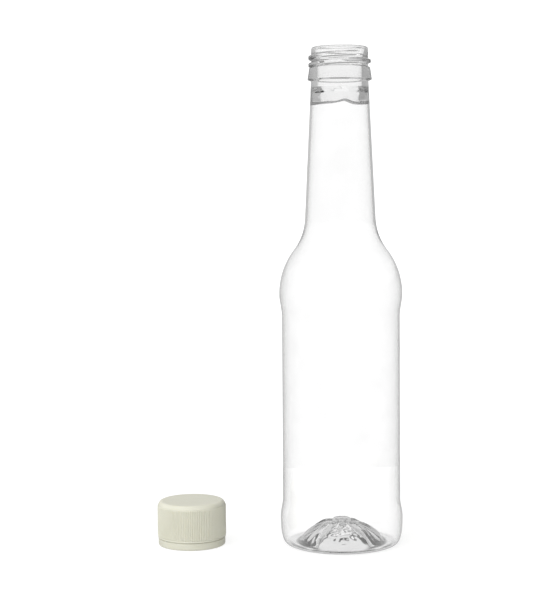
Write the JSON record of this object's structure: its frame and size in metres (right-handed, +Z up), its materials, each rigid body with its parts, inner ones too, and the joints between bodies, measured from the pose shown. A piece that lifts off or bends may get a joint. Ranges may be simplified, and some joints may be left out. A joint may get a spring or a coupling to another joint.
{
  "type": "juice bottle",
  "caption": "Clear long-neck plastic juice bottle, empty, with a screw neck, two bulges that guard the label panel and a ribbed push-up base; its ribbed off-white screw cap stands beside it.",
  "frame": {"origin": "on the surface the bottle and cap stand on, under the centre of the box round both", "axes": "+Z up along the bottle, +X from the cap towards the bottle, -Y towards the side the picture shows"},
  "size_m": [0.1094, 0.0544, 0.2195],
  "materials": {
    "clear_pet": "clear gloss",
    "off_white_polythene": "satin"
  },
  "bodies": {
    "root": {"bottle": "clear_pet", "cap": "off_white_polythene"}
  },
  "joints": []
}
